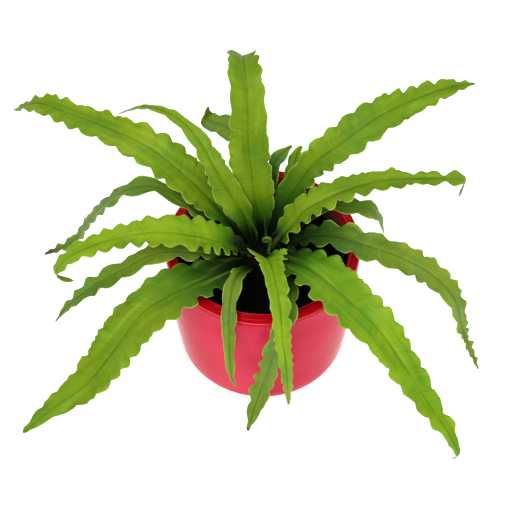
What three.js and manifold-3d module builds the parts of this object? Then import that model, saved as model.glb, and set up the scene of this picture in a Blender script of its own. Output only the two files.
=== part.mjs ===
import * as THREE from 'three';
import Module from 'manifold-3d';

// A crisp-edged bird's-nest fern growing in a red glazed pot.
// Millimetres, +Z up; the origin is the middle of the pot's flat foot, -Y is the front.

// ---------- driving dimensions ----------
const POT_HEIGHT = 118;
const RIM_RADIUS = 75;
const LIP_WIDTH = 9.5;
const FOOT_RADIUS = 64;
const FLOOR = 8;
const SOIL_LEVEL = 96;
const CROWN_TOP = 104;
const CROWN_RADIUS = 20;
const CLEAR = 0.3;
const BLADE = 1.3;

// ---------- helpers ----------
const clamp = (x) => Math.min(1, Math.max(0, x));
const smooth = (x) => clamp(x) * clamp(x) * (3 - 2 * clamp(x));
const mix = (a, b, t) => a + (b - a) * t;

// A steady irregular value from 0 to 1 that changes smoothly with x; each key has its own run.
function vary(x, key) {
  const hash = (i) => {
    const v = Math.sin(i * 12.9898 + key * 78.233) * 43758.5453;
    return v - Math.floor(v);
  };
  const i = Math.floor(x);
  return mix(hash(i), hash(i + 1), smooth(x - i));
}

const wasm = await Module();
wasm.setup();

function toSolid(geometry) {
  const mesh = new wasm.Mesh({
    numProp: 3,
    vertProperties: new Float32Array(geometry.attributes.position.array),
    triVerts: new Uint32Array(geometry.index.array),
  });
  return new wasm.Manifold(mesh);
}

function fromSolid(solid) {
  const mesh = solid.getMesh();
  const geometry = new THREE.BufferGeometry();
  const places = [];
  for (let i = 0; i < mesh.numVert; i += 1) {
    places.push(mesh.vertProperties[i * mesh.numProp]);
    places.push(mesh.vertProperties[i * mesh.numProp + 1]);
    places.push(mesh.vertProperties[i * mesh.numProp + 2]);
  }
  geometry.setAttribute('position', new THREE.Float32BufferAttribute(places, 3));
  geometry.setIndex(Array.from(mesh.triVerts));
  return geometry;
}

function shape(points, triangles) {
  const geometry = new THREE.BufferGeometry();
  geometry.setAttribute('position', new THREE.Float32BufferAttribute(points.flat(), 3));
  geometry.setIndex(triangles.flat());
  return geometry;
}

// A closed solid of revolution: the profile is [radius, height] and starts and ends on the axis.
// `uneven(angle, radius, height)` may shift a ring point up or down.
function turned(profile, sides, uneven = () => 0) {
  const points = [];
  const triangles = [];
  const last = profile.length - 1;
  points.push([0, 0, profile[0][1]]);
  for (let i = 1; i < last; i += 1) {
    for (let k = 0; k < sides; k += 1) {
      const angle = (k / sides) * Math.PI * 2;
      const [radius, height] = profile[i];
      const lift = uneven(angle, radius, height);
      points.push([radius * Math.cos(angle), radius * Math.sin(angle), height + lift]);
    }
  }
  points.push([0, 0, profile[last][1]]);
  const top = points.length - 1;
  for (let k = 0; k < sides; k += 1) {
    const next = (k + 1) % sides;
    triangles.push([0, 1 + next, 1 + k]);
    for (let i = 0; i < last - 2; i += 1) {
      const a = 1 + i * sides;
      const b = a + sides;
      triangles.push([a + k, a + next, b + next]);
      triangles.push([a + k, b + next, b + k]);
    }
    const c = 1 + (last - 2) * sides;
    triangles.push([c + k, c + next, top]);
  }
  return shape(points, triangles);
}

// ---------- fronds ----------
// route: guide points [bearing in degrees, reach from the pot's axis, height], base to tip.
// half: half the blade's width at eight even stations, base to tip;
// waves: full ripples along each edge; lift: ripple height; sense: which edge rises first;
// fold: how steeply the two halves rise from the midrib, in degrees, and open: the share of it
// that is lost towards the tip; early: the share of the length over which the ripples grow;
// ease: how much closer the ripples stand near the base;
// edges: how strongly each edge is rippled; frill: how much deeper it is cut near the base;
// room: how fast the base widens with its reach from the axis, so that neighbours stay clear;
// roll: turn of the blade about its midrib at base, middle and tip, in degrees.
const FRONDS = [
  { name: 'frond_back_upright', half: [4.5, 12, 16.5, 16.4, 14.5, 13, 10, 1], waves: 15, lift: 1.8,
    fold: 26, open: 0.2, room: 0.4, edges: [0.7, 0.8], seed: 1, sense: 1, roll: [0, 0, 0],
    route: [[92, 13, 97], [99, 21, 117], [102, 33, 144], [103.4, 47, 174],
      [100.4, 62, 205], [99.5, 84, 220], [98.5, 105, 213], [98.5, 120, 186]] },
  { name: 'frond_right_upper', half: [4, 8, 10, 13.3, 13.5, 10.5, 6.5, 1], waves: 16, lift: 2.4,
    fold: 22, room: 0.22, edges: [0.9, 1.3], seed: 2, sense: -1, roll: [0, 0, 0],
    route: [[64, 15, 97], [60, 25, 116], [46.3, 50, 160.2], [35, 74, 185], [33, 103, 197],
      [33, 140, 196], [33, 172, 190], [33, 197, 180]] },
  { name: 'frond_right', half: [5, 12.6, 12.4, 11.2, 9, 6.5, 5.5, 3], waves: 15, lift: 2.6,
    fold: 24, early: 0.12, ease: 0.2, room: 0.22, frill: [0.2, 0.6], edges: [0.8, 1.2],
    seed: 3, sense: -1, roll: [0, 0, 30],
    route: [[17, 9, 99], [16, 18, 119], [20, 33, 140], [18, 53, 151.5], [17, 72, 157],
      [16.7, 99, 156.5], [16.7, 126, 149], [16.7, 148, 142], [17, 163, 133.5],
      [17, 161, 116]] },
  { name: 'frond_right_small', half: [2, 2, 2, 4, 6.5, 6.5, 4.5, 1], waves: 6, lift: 1.6,
    fold: 20, seed: 4, sense: -1, roll: [0, 0, 0],
    route: [[30, 14, 97], [32, 29, 109], [30, 43, 118], [27, 60, 126], [21, 71, 129],
      [18, 84, 126], [17, 94, 115], [17, 101, 90]] },
  { name: 'frond_right_lower', half: [3.5, 8.5, 11.5, 11, 9.5, 7.5, 4.5, 1], waves: 17, lift: 2.4,
    fold: 22, room: 0.14, frill: [0.3, 0.3], edges: [1.1, 1], seed: 5, sense: -1, roll: [0, 0, 0],
    route: [[-11, 13, 97], [-7, 27, 123], [-14.5, 51, 141.3], [-20.2, 78, 148.5],
      [-20, 107, 145.5], [-20.8, 134, 137], [-21, 152, 118], [-21.8, 163, 86],
      [-22.4, 181, 45]] },
  { name: 'frond_right_front', half: [4.5, 14.5, 18.5, 18, 15, 11, 6.5, 1], waves: 17, lift: 3,
    fold: 14, early: 0.12, ease: 0.3, room: 0.225, frill: [0.1, 1.4], edges: [1, 0.9],
    seed: 6, sense: -1, roll: [0, 0, 0],
    route: [[-51, 10, 99], [-48, 27, 120], [-47.5, 58, 134], [-48.6, 92, 137.5],
      [-48.6, 125, 134], [-49.2, 154, 121], [-49.9, 182, 108.5], [-50.2, 203, 99.5],
      [-49.8, 215, 80], [-50.3, 211, 71]] },
  { name: 'frond_front', half: [4, 10, 10.5, 8, 6.5, 5.5, 3.8, 1.2], waves: 18, lift: 1.8,
    fold: 34, early: 0.12, room: 0.44, frill: [0.6, 0.6], edges: [1.1, 1.1],
    seed: 7, sense: 1, roll: [0, 0, 0],
    route: [[-90, 8, 99], [-86, 24, 126], [-84, 42, 147], [-83, 62, 157], [-82, 84, 149],
      [-82, 98, 130], [-81, 107, 102], [-80, 111, 59]] },
  { name: 'frond_front_low', half: [2, 4, 6.5, 7.5, 8, 7.5, 7, 1.5], waves: 11, lift: 1.8,
    fold: 20, edges: [1.2, 1.2], seed: 8, sense: 1, roll: [0, 0, 0],
    route: [[-62, 14, 97], [-62, 30, 109], [-65, 47, 118], [-72, 63, 124], [-78, 79, 122],
      [-85, 89, 95], [-91, 95, 56], [-96, 112, 24]] },
  { name: 'frond_front_left', half: [2, 3.5, 5, 6, 5.6, 4.2, 2.8, 0.8], waves: 7, lift: 1,
    fold: 16, edges: [0.8, 0.8], seed: 9, sense: 1, roll: [0, 0, 0],
    route: [[-112, 12, 98], [-114, 31, 120], [-113, 54, 134], [-109, 76, 126], [-106, 90, 102],
      [-104, 97, 76], [-102, 98, 62]] },
  { name: 'frond_left_front', half: [4.5, 13.5, 18.8, 20, 19, 16, 9.5, 2.6], waves: 17, lift: 3,
    fold: 16, early: 0.12, ease: 0.2, room: 0.235, frill: [1.3, 0.1], edges: [0.9, 0.8],
    seed: 10, sense: 1, roll: [0, 0, 0],
    route: [[222, 11, 98], [223, 34, 112], [222, 62, 122], [221, 90, 129], [220, 116, 126],
      [220.6, 140, 110], [220.6, 172, 89.5], [220.7, 208, 89], [220.2, 227, 81.5]] },
  { name: 'frond_left', half: [5, 14.5, 16.6, 14, 10.5, 8.8, 7, 3], waves: 17, lift: 3,
    fold: 22, early: 0.1, ease: 0.3, room: 0.252, frill: [1, 0.2], edges: [0.9, 0.45],
    seed: 11, sense: 1, roll: [0, 0, 0],
    route: [[195, 8, 99], [189, 26, 118], [189, 50, 133.5], [189, 76, 144],
      [189.8, 102, 147], [190, 128, 141], [190, 148, 130], [191, 158, 116], [192, 146, 109]] },
  { name: 'frond_left_low', half: [2, 5, 7.5, 9, 8.5, 7.5, 5, 0.8], waves: 10, lift: 1.8,
    fold: 16, edges: [1.3, 1], seed: 12, sense: 1, roll: [0, 0, 0],
    route: [[200, 13, 97], [196.5, 32, 110.5], [194, 58, 122.5], [194, 82, 128.5],
      [194, 106, 118.5], [194, 134, 103], [194, 156, 82], [194, 166, 68]] },
  { name: 'frond_left_rear', half: [2, 4.5, 5.8, 6.8, 7, 6.4, 4.4, 1.4], waves: 13, lift: 1.6,
    fold: 18, edges: [1.3, 1], seed: 13, sense: 1, roll: [0, -10, -24],
    route: [[171, 13, 97], [167, 28, 108], [163, 46, 127], [164, 65, 146], [165, 84, 157],
      [165.6, 105, 149], [165.5, 126, 124], [164.5, 142, 97], [164.5, 160, 64],
      [164.5, 188, 37]] },
  { name: 'frond_left_upper', half: [4, 12.5, 16.5, 16.5, 14.5, 12, 9, 1.6], waves: 17, lift: 2.6,
    fold: 18, room: 0.125, edges: [1.2, 0.9], seed: 14, sense: 1, roll: [0, 0, 0],
    route: [[146, 13, 97], [148, 33, 125], [151, 49.5, 144], [154, 66, 162],
      [154, 92, 177.5], [154, 122, 183], [154, 160, 184], [154, 190, 182.5],
      [154, 216, 163.5]] },
  { name: 'frond_left_tall', half: [4, 12, 11, 8, 5.2, 3, 2.2, 0.8], waves: 13, lift: 1.8,
    fold: 24, room: 0.225, edges: [0.9, 0.8], seed: 15, sense: 1, roll: [-34, -16, 0],
    route: [[128, 8, 99], [132, 20, 127], [139.5, 37.5, 154.5], [138, 55, 175.5], [137, 72, 188],
      [137.5, 96, 191.5], [138, 120, 182], [138.5, 154, 151]] },
  { name: 'frond_back_left_young', half: [2, 2.4, 2.8, 3.6, 6, 8.4, 7.5, 1.6], waves: 7, lift: 1.4,
    fold: 22, seed: 16, sense: 1, roll: [0, 0, 0],
    route: [[109, 18, 97], [104.5, 30, 122], [100, 42, 143], [101, 54, 158],
      [106, 64, 169], [114, 74, 175], [120, 84, 177], [120.5, 82, 192]] },
  { name: 'frond_back_right_curled', half: [2, 2.4, 2.8, 3.5, 4.6, 5.6, 4.8, 1.2], waves: 4, lift: 1.2,
    fold: 24, seed: 18, sense: 1, roll: [0, 0, 0],
    route: [[78, 17.5, 97.5], [80, 28.5, 117], [82, 38, 138], [81, 43, 153], [75, 49, 163],
      [67, 57, 169]] },
  { name: 'frond_back_right_young', half: [2, 2.4, 2.8, 3.4, 4.6, 5.8, 5.2, 1.5], waves: 4, lift: 1.2,
    fold: 24, seed: 20, sense: 1, roll: [0, 0, 0],
    route: [[48, 17.5, 98], [62, 32, 116], [64, 44.5, 138], [63, 51, 152], [63, 58.5, 162],
      [62.5, 64, 164]] },
  { name: 'frond_back_low', half: [2, 4, 6, 8, 8.5, 7.5, 5, 1], waves: 8, lift: 1.6,
    fold: 18, seed: 19, sense: 1, roll: [0, 0, 0],
    route: [[95, 18.5, 97.5], [95, 32, 112], [95, 54, 127], [96, 78, 129], [97, 100, 112],
      [97, 112, 82]] },
];

function place([bearing, reach, height]) {
  const angle = (bearing * Math.PI) / 180;
  return new THREE.Vector3(reach * Math.cos(angle), reach * Math.sin(angle), height);
}

// The midrib as many short steps, each with its place, direction and the blade's sideways direction.
function midrib(frond) {
  const guides = frond.route.map(place);
  const curve = new THREE.CatmullRomCurve3(guides, false, 'centripetal');
  const count = 240;
  const steps = [];
  let run = 0;
  for (let i = 0; i <= count; i += 1) {
    const at = curve.getPoint(i / count);
    if (i > 0) run += at.distanceTo(steps[i - 1].at);
    steps.push({ at, run });
  }
  let side = null;
  steps.forEach((step, i) => {
    const before = steps[Math.max(0, i - 1)].at;
    const after = steps[Math.min(count, i + 1)].at;
    step.along = after.clone().sub(before).normalize();
    if (side === null) {
      const bearing = (frond.route[1][0] * Math.PI) / 180;
      side = new THREE.Vector3(Math.sin(bearing), -Math.cos(bearing), 0);
    }
    side = side.clone().addScaledVector(step.along, -side.dot(step.along)).normalize();
    step.side = side;
    step.s = step.run / run;
  });
  return { steps, length: run };
}

function station(rib, frond, s) {
  const steps = rib.steps;
  let i = 1;
  while (i < steps.length - 1 && steps[i].s < s) i += 1;
  const t = clamp((s - steps[i - 1].s) / (steps[i].s - steps[i - 1].s));
  const at = steps[i - 1].at.clone().lerp(steps[i].at, t);
  const along = steps[i - 1].along.clone().lerp(steps[i].along, t).normalize();
  const side = steps[i - 1].side.clone().lerp(steps[i].side, t);
  side.addScaledVector(along, -side.dot(along)).normalize();
  const [first, middle, last] = frond.roll;
  const roll = s < 0.5 ? mix(first, middle, smooth(s * 2)) : mix(middle, last, smooth(s * 2 - 1));
  side.applyAxisAngle(along, (roll * Math.PI) / 180);
  return { at, side, up: side.clone().cross(along) };
}

// A smooth run through evenly spaced values.
function along(values, s) {
  const x = clamp(s) * (values.length - 1);
  const i = Math.min(values.length - 2, Math.floor(x));
  const t = x - i;
  const b = values[i];
  const c = values[i + 1];
  const a = i > 0 ? values[i - 1] : b;
  const d = i < values.length - 2 ? values[i + 2] : c;
  const m = (c - a) / 2;
  const n = (d - b) / 2;
  const t2 = t * t;
  const t3 = t2 * t;
  return (2 * t3 - 3 * t2 + 1) * b + (t3 - 2 * t2 + t) * m + (3 * t2 - 2 * t3) * c + (t3 - t2) * n;
}

const BROAD = [-1, -0.6, 0, 0.6, 1];
const NARROW = [-1, 0, 1];
const SCALLOP = 1.1;
const STEEP = 50; // the least fold of a base, in degrees
const SPREAD = 38; // the reach at which the bases have room for twice their width

// One frond: a thin blade on its midrib, both edges rippled.
function bladeGeometry(frond, grow = 0, until = 1) {
  const { seed, early = 0.24, ease = 0, open = 0.75, room = 1, edges = [1, 1], frill = [0, 0] } = frond;
  const across = grow > 0 || Math.max(...frond.half) < 9.2 ? NARROW : BROAD;
  const rib = midrib(frond);
  const rows = frond.waves * 3;
  const points = [];
  const triangles = [];
  const n = across.length;
  let count = 0;
  for (let r = 0; r <= rows; r += 1) {
    const q = r / rows;
    const turns = q * frond.waves;
    const pace = 1.3 * (vary(turns * 0.3, seed * 11) - 0.5);
    const shift = 0.006 * Math.sin(q * 19 + seed) + pace / frond.waves;
    const s = mix(q, q * q, ease) + shift * 4 * q * (1 - q);
    if (s > until && r > 1) break;
    count += 1;
    const { at, side, up } = station(rib, frond, s);
    if (r === 0) at.addScaledVector(side.clone().cross(up), grow);
    const flat = frond.fold * (1 - open * smooth(s / 0.7));
    const fold = (mix(Math.max(STEEP, flat), flat, smooth(s / 0.2)) * Math.PI) / 180;
    const reach = Math.hypot(at.x, at.y);
    const gap = (room * reach * (1 + (reach / SPREAD) ** 3)) / Math.cos(fold);
    const full = Math.max(0.7, along(frond.half, s));
    const half = (full ** -4 + gap ** -4) ** -0.25 + grow;
    const swing = frond.lift * smooth(s / early) * (0.8 + 0.2 * Math.sin(q * 31 + seed * 2));
    // each edge's ripples differ in size and keep a little out of step
    const [left, right] = [0, 1].map((side) => {
      const zone = 0.5 + 0.9 * vary(turns * 0.24, seed * 31 + side);
      const size = edges[side] * Math.min(1.4, zone * (0.45 + 1.2 * vary(turns, seed * 3 + side) ** 1.3));
      const drift = 0.36 * (vary(turns * 0.6, seed * 5 + side) - 0.5);
      const wide = 1 + 0.14 * (vary(turns * 0.37, seed * 7 + side) - 0.5);
      const wave = size * Math.sin((turns + drift) * Math.PI * 2 + Math.PI / 6);
      const cut = frill[side] * smooth(s / 0.07) * (1 - smooth((s - 0.2) / 0.3));
      const high = swing * Math.min(1, half / 8) * (1 - 0.6 * Math.min(1, cut));
      return { wave, wide, deep: SCALLOP + 0.9 * cut, ripple: high * wave * frond.sense };
    });
    for (const face of [1, -1]) {
      for (const u of across) {
        const edge = Math.abs(u);
        const { wave, wide, deep, ripple } = u < 0 ? left : right;
        const bow = deep * u * wave * smooth(s / early) * Math.min(1, half / 8);
        const thick = mix(mix(3.4, 2.2, edge), mix(1.9, BLADE, edge), smooth(s / 0.2)) / 2 + grow;
        const out = half * u * wide * Math.cos(fold) + bow;
        const rise = half * edge * Math.sin(fold) + ripple * Math.sign(u) * edge ** 2.2 + face * thick;
        const p = at.clone().addScaledVector(side, out).addScaledVector(up, rise);
        points.push([p.x, p.y, p.z]);
      }
    }
  }
  for (let r = 0; r < count - 1; r += 1) {
    const a = r * 2 * n;
    const b = a + 2 * n;
    for (let k = 0; k < n - 1; k += 1) {
      const mirrored = k >= (n - 1) / 2;
      const [p, q, u, v] = [a + k, a + k + 1, b + k + 1, b + k];
      const upper = mirrored ? [[p, q, v], [q, u, v]] : [[p, q, u], [p, u, v]];
      triangles.push(...upper);
      triangles.push(...upper.map(([x, y, z]) => [x + n, z + n, y + n]));
    }
    triangles.push([a, b, b + n], [a, b + n, a + n]);
    const c = a + n - 1;
    const d = b + n - 1;
    triangles.push([c, d + n, d], [c, c + n, d + n]);
  }
  const e = (count - 1) * 2 * n;
  for (let k = 0; k < n - 1; k += 1) {
    triangles.push([k, k + n, k + 1], [k + 1, k + n, k + 1 + n]);
    triangles.push([e + k, e + k + 1, e + k + n], [e + k + 1, e + k + 1 + n, e + k + n]);
  }
  return shape(points, triangles);
}

// A young frond still rolled up: a tapering stalk that ends in a spiral.
const CROZIER = { base: [0.5, -1.5, 98.5], rise: 23, lean: 0.09, coil: 3.4, turns: 1.35, thick: 1.6 };

function crozierGeometry(grow = 0, until = 1) {
  const rows = 30;
  const sides = 6;
  const points = [];
  const triangles = [];
  const spine = [];
  for (let r = 0; r <= rows; r += 1) {
    const s = r / rows;
    const up = clamp(s / 0.4);
    const turn = clamp((s - 0.4) / 0.6);
    const angle = turn * CROZIER.turns * Math.PI * 2;
    const coil = CROZIER.coil * (1 - 0.78 * turn);
    const out = up * CROZIER.rise * CROZIER.lean - CROZIER.coil + coil * Math.cos(angle);
    const rise = up * CROZIER.rise + coil * Math.sin(angle);
    spine.push({ out, rise, thick: mix(CROZIER.thick, 0.75, smooth(s)) + grow, s });
  }
  let count = 0;
  for (const [r, mark] of spine.entries()) {
    if (mark.s > until && r > 1) break;
    count += 1;
    const before = spine[Math.max(0, r - 1)];
    const after = spine[Math.min(rows, r + 1)];
    const length = Math.hypot(after.out - before.out, after.rise - before.rise);
    const [dx, dz] = [(after.out - before.out) / length, (after.rise - before.rise) / length];
    const sink = r === 0 ? grow : 0;
    for (let k = 0; k < sides; k += 1) {
      const angle = (k / sides) * Math.PI * 2;
      const a = mark.thick * Math.cos(angle);
      const b = mark.thick * Math.sin(angle);
      const x = CROZIER.base[0] + CROZIER.coil + mark.out + a * dz - dx * sink;
      const z = CROZIER.base[2] + mark.rise - a * dx - dz * sink;
      points.push([x, CROZIER.base[1] + b, z]);
    }
  }
  for (let r = 0; r < count - 1; r += 1) {
    for (let k = 0; k < sides; k += 1) {
      const next = (k + 1) % sides;
      const [a, b] = [r * sides, (r + 1) * sides];
      triangles.push([a + k, a + next, b + next], [a + k, b + next, b + k]);
    }
  }
  const end = (count - 1) * sides;
  for (let k = 1; k < sides - 1; k += 1) {
    triangles.push([0, k + 1, k], [end, end + k, end + k + 1]);
  }
  return shape(points, triangles);
}

// ---------- pot ----------
const lipMid = RIM_RADIUS - LIP_WIDTH / 2;
const lipInner = RIM_RADIUS - LIP_WIDTH;
const potProfile = [
  [0, 0], [FOOT_RADIUS - 0.5, 0], [66.7, 2.6],
  [68.5, 12], [71, 34], [73.1, 58], [74.4, 82], [74.7, 104], [RIM_RADIUS, 111.5], [74.4, 115.4],
  [72.6, 117.5], [lipMid, POT_HEIGHT], [lipInner + 1.6, 117], [lipInner, 114], [66.2, 107],
  [67, 96], [65.6, 70], [62, 40], [57, 14], [52, FLOOR], [0, FLOOR],
];
let pot = toSolid(turned(potProfile, 56));
for (const bearing of [90, 210, 330]) {
  const hole = turned([[0, -1], [5.5, -1], [5.5, FLOOR + 1], [0, FLOOR + 1]], 16);
  const angle = (bearing * Math.PI) / 180;
  hole.translate(32 * Math.cos(angle), 32 * Math.sin(angle), 0);
  pot = pot.subtract(toSolid(hole));
}

// ---------- crown: the short rhizome that the fronds stand in ----------
const crownProfile = [
  [0, SOIL_LEVEL - 14], [9, SOIL_LEVEL - 13], [15, SOIL_LEVEL - 6], [CROWN_RADIUS, SOIL_LEVEL],
  [CROWN_RADIUS, SOIL_LEVEL + 3], [CROWN_RADIUS - 3, CROWN_TOP - 1.5], [CROWN_RADIUS - 8, CROWN_TOP],
  [4, CROWN_TOP - 1.5], [0, CROWN_TOP - 2],
];
let crown = toSolid(turned(crownProfile, 24));
const blades = [];
for (const frond of FRONDS) {
  blades.push(bladeGeometry(frond));
  crown = crown.subtract(toSolid(bladeGeometry(frond, CLEAR, 0.3)));
}
crown = crown.subtract(toSolid(crozierGeometry(CLEAR, 0.3)));

// ---------- soil: fills the pot, with a bed for the crown ----------
const heave = (angle, radius, height) => {
  if (height < SOIL_LEVEL - 2) return 0;
  return 1.2 * Math.sin(angle * 5 + radius * 0.3) + 0.8 * Math.sin(angle * 9 - radius * 0.7);
};
const soilProfile = [
  [0, FLOOR + CLEAR], [51.7, FLOOR + CLEAR], [56.6, 14.2], [61.6, 40.2], [65.2, 70],
  [66.4, SOIL_LEVEL - 3], [60, SOIL_LEVEL], [42, SOIL_LEVEL + 0.5], [26, SOIL_LEVEL + 1],
  [0, SOIL_LEVEL + 1],
];
const bedProfile = [
  [0, SOIL_LEVEL - 14.3], [9.2, SOIL_LEVEL - 13.4], [15.3, SOIL_LEVEL - 6.3],
  [CROWN_RADIUS + CLEAR, SOIL_LEVEL - 0.2], [CROWN_RADIUS + CLEAR, SOIL_LEVEL + 8],
  [0, SOIL_LEVEL + 8],
];
let soil = toSolid(turned(soilProfile, 40, heave));
soil = soil.subtract(toSolid(turned(bedProfile, 24)));

// ---------- assembly ----------
const group = new THREE.Group();
group.name = 'potted_fern';

function add(name, geometry, color, roughness) {
  const material = new THREE.MeshStandardMaterial({ color, roughness, metalness: 0 });
  const mesh = new THREE.Mesh(geometry, material);
  mesh.name = name;
  mesh.material.name = name;
  group.add(mesh);
}

add('pot', fromSolid(pot), 0xb3102f, 0.18);
add('soil', fromSolid(soil), 0x1c1410, 0.95);
add('crown', fromSolid(crown), 0x3a2a1a, 0.9);
FRONDS.forEach((frond, i) => add(frond.name, blades[i], 0x76a321, 0.5));
add('crozier', crozierGeometry(), 0x9cbf4a, 0.6);

export default group;
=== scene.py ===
"""A crisp-edged fern in a red glazed pot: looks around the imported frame.

The scene is in metres, +Z up and -Y to the front. Shapes are written in millimetres from the middle
of the pot's foot, and become metres as their meshes are made.
"""

import math
import random

import bmesh
import bpy
import numpy as np
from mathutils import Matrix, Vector


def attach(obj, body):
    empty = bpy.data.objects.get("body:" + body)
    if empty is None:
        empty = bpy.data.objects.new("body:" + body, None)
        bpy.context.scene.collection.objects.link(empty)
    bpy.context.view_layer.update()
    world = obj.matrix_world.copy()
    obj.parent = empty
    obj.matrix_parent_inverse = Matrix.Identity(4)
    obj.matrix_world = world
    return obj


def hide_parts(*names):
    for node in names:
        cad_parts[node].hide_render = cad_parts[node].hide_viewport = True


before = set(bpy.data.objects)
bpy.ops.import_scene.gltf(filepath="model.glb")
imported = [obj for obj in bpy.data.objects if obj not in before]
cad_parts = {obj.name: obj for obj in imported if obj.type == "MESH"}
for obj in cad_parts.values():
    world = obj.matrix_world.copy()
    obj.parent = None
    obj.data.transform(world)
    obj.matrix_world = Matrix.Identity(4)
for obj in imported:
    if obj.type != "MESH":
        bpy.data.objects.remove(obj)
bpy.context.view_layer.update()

MM = 0.001
ROOT = "root"
TURN = 2 * math.pi

# the pot and its soil, in millimetres
RIM = 75.0          # outer radius at the lip
LIP = 9.5           # thickness of the lip
HEIGHT = 118.0
FLOOR = 8.0         # height of the floor inside
DRAIN_RADIUS = 5.5
DRAIN_REACH = 32.0  # how far the drain holes are from the axis
SOIL = 96.0         # height of the soil's surface
SOIL_REACH = 66.0   # its radius there

# the camera that fits the photograph
TILT = math.radians(52.4)
TARGET = Vector((-5.2, -13.9, HEIGHT)) * MM
DISTANCE = 1.061    # metres from the target
FOCAL_PX = 1400.0
FRAME_PX = 512.0
SENSOR = 36.0

STAGE_SIZE = 16.0   # metres
SKY = 0.44          # strength of the world's light


# ---- camera, floor and light
def make_camera():
    ahead = Vector((0.0, math.cos(TILT), -math.sin(TILT)))
    data = bpy.data.cameras.new("camera")
    data.sensor_width = SENSOR
    data.lens = SENSOR * FOCAL_PX / FRAME_PX
    data.clip_start, data.clip_end = 0.05, 20.0
    camera = bpy.data.objects.new("camera", data)
    camera.location = TARGET - ahead * DISTANCE
    camera.rotation_euler = (math.pi / 2 - TILT, 0.0, 0.0)
    bpy.context.collection.objects.link(camera)
    bpy.context.scene.camera = camera


def area_light(name, place, aim, size, power, colour=(1.0, 1.0, 1.0)):
    data = bpy.data.lights.new(name, "AREA")
    data.shape = "RECTANGLE"
    data.size, data.size_y = size
    data.energy = power
    data.color = colour
    lamp = bpy.data.objects.new(name, data)
    lamp.location = place
    lamp.rotation_euler = (Vector(aim) - Vector(place)).to_track_quat("-Z", "Y").to_euler()
    bpy.context.collection.objects.link(lamp)


def make_studio():
    """A white world, three soft lights and a pale floor."""
    world = bpy.data.worlds.new("studio")
    bpy.context.scene.world = world
    world.use_nodes = True
    sky = world.node_tree.nodes["Background"]
    sky.inputs["Color"].default_value = (1.0, 1.0, 1.0, 1.0)
    sky.inputs["Strength"].default_value = SKY
    area_light("key", (-0.38, -0.82, 1.35), (0.0, 0.0, 0.1), (0.8, 0.8), 17.0, (1.0, 0.99, 0.97))
    area_light("fill", (0.85, -0.55, 1.0), (0.0, 0.0, 0.1), (1.4, 1.4), 6.0, (0.98, 0.99, 1.0))
    area_light("back", (0.1, 0.9, 1.2), (0.0, 0.0, 0.15), (1.0, 0.6), 5.0)
    bpy.ops.mesh.primitive_grid_add(x_subdivisions=8, y_subdivisions=8, size=STAGE_SIZE)
    ground = bpy.context.object
    ground.name = "studio_floor"
    ground.data.materials.append(floor_material())
    bpy.context.scene.view_settings.view_transform = "Standard"


# ---- node helper
class Shader:
    """A short way to write a material's nodes. Values are numbers, colours or output sockets, and
    self.colour is the colour so far."""

    def __init__(self, name):
        self.material = bpy.data.materials.new(name)
        self.material.use_nodes = True
        self.tree = self.material.node_tree
        self.main = self.tree.nodes["Principled BSDF"]
        self.colour = None

    def feed(self, node, inputs):
        for key, value in inputs.items():
            if isinstance(value, bpy.types.NodeSocket):
                self.tree.links.new(value, node.inputs[key])
            elif value is not None:
                node.inputs[key].default_value = value

    def add(self, kind, inputs, **settings):
        """The outputs of a new node. Its inputs are given by name or by number."""
        node = self.tree.nodes.new("ShaderNode" + kind)
        for key, value in settings.items():
            setattr(node, key, value)
        self.feed(node, inputs)
        return node.outputs

    def attribute(self, name):
        return self.add("Attribute", {}, attribute_name=name)["Fac"]

    def place(self):
        return self.add("TexCoord", {})["Object"]

    def split(self, vector):
        return self.add("SeparateXYZ", {0: vector})

    def join(self, *values):
        return self.add("CombineXYZ", dict(enumerate(values)))[0]

    def math(self, kind, *values):
        return self.add("Math", dict(enumerate(values)), operation=kind)[0]

    def times(self, product, *others):
        for other in others:
            product = self.math("MULTIPLY", product, other)
        return product

    def span(self, value, low, high, to_low=0.0, to_high=1.0):
        """A smooth step from to_low to to_high as the value goes from low to high."""
        inputs = {"Value": value, "From Min": low, "From Max": high, "To Min": to_low, "To Max": to_high}
        return self.add("MapRange", inputs, interpolation_type="SMOOTHSTEP")[0]

    def noise(self, scale, detail=3.0, rough=0.5, vector=None, stretch=None):
        vector = self.place() if vector is None else vector
        if stretch is not None:
            vector = self.add("Mapping", {"Vector": vector, "Scale": stretch})[0]
        inputs = {"Vector": vector, "Scale": scale, "Detail": detail, "Roughness": rough}
        return self.add("TexNoise", inputs)["Fac"]

    def cells(self, scale):
        return self.add("TexVoronoi", {"Vector": self.place(), "Scale": scale})["Distance"]

    def mix(self, factor, a, b):
        return self.add("Mix", {0: factor, 6: a, 7: b}, data_type="RGBA")[2]

    def over(self, factor, *screen):
        """Lays a screen colour over the colour so far."""
        self.colour = self.mix(factor, self.colour, linear(*screen))

    def deepen(self, factor, share, ink):
        """Lays the colour so far with a share of dark ink in it over itself."""
        self.colour = self.mix(factor, self.colour, self.mix(share, self.colour, ink))

    def bump(self, height, depth, under=None):
        return self.add("Bump", {"Height": height, "Distance": depth, "Normal": under})[0]

    def finish(self, rough, normal=None, **constant):
        more = {key.replace("_", " "): value for key, value in constant.items()}
        self.feed(self.main, {"Base Color": self.colour, "Roughness": rough, "Normal": normal, **more})
        return self.material


def linear(*screen):
    """A screen colour, 0 to 255, as linear light."""
    parts = (x / 255.0 for x in screen)
    return (*(x / 12.92 if x <= 0.04045 else ((x + 0.055) / 1.055) ** 2.4 for x in parts), 1.0)


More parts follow.
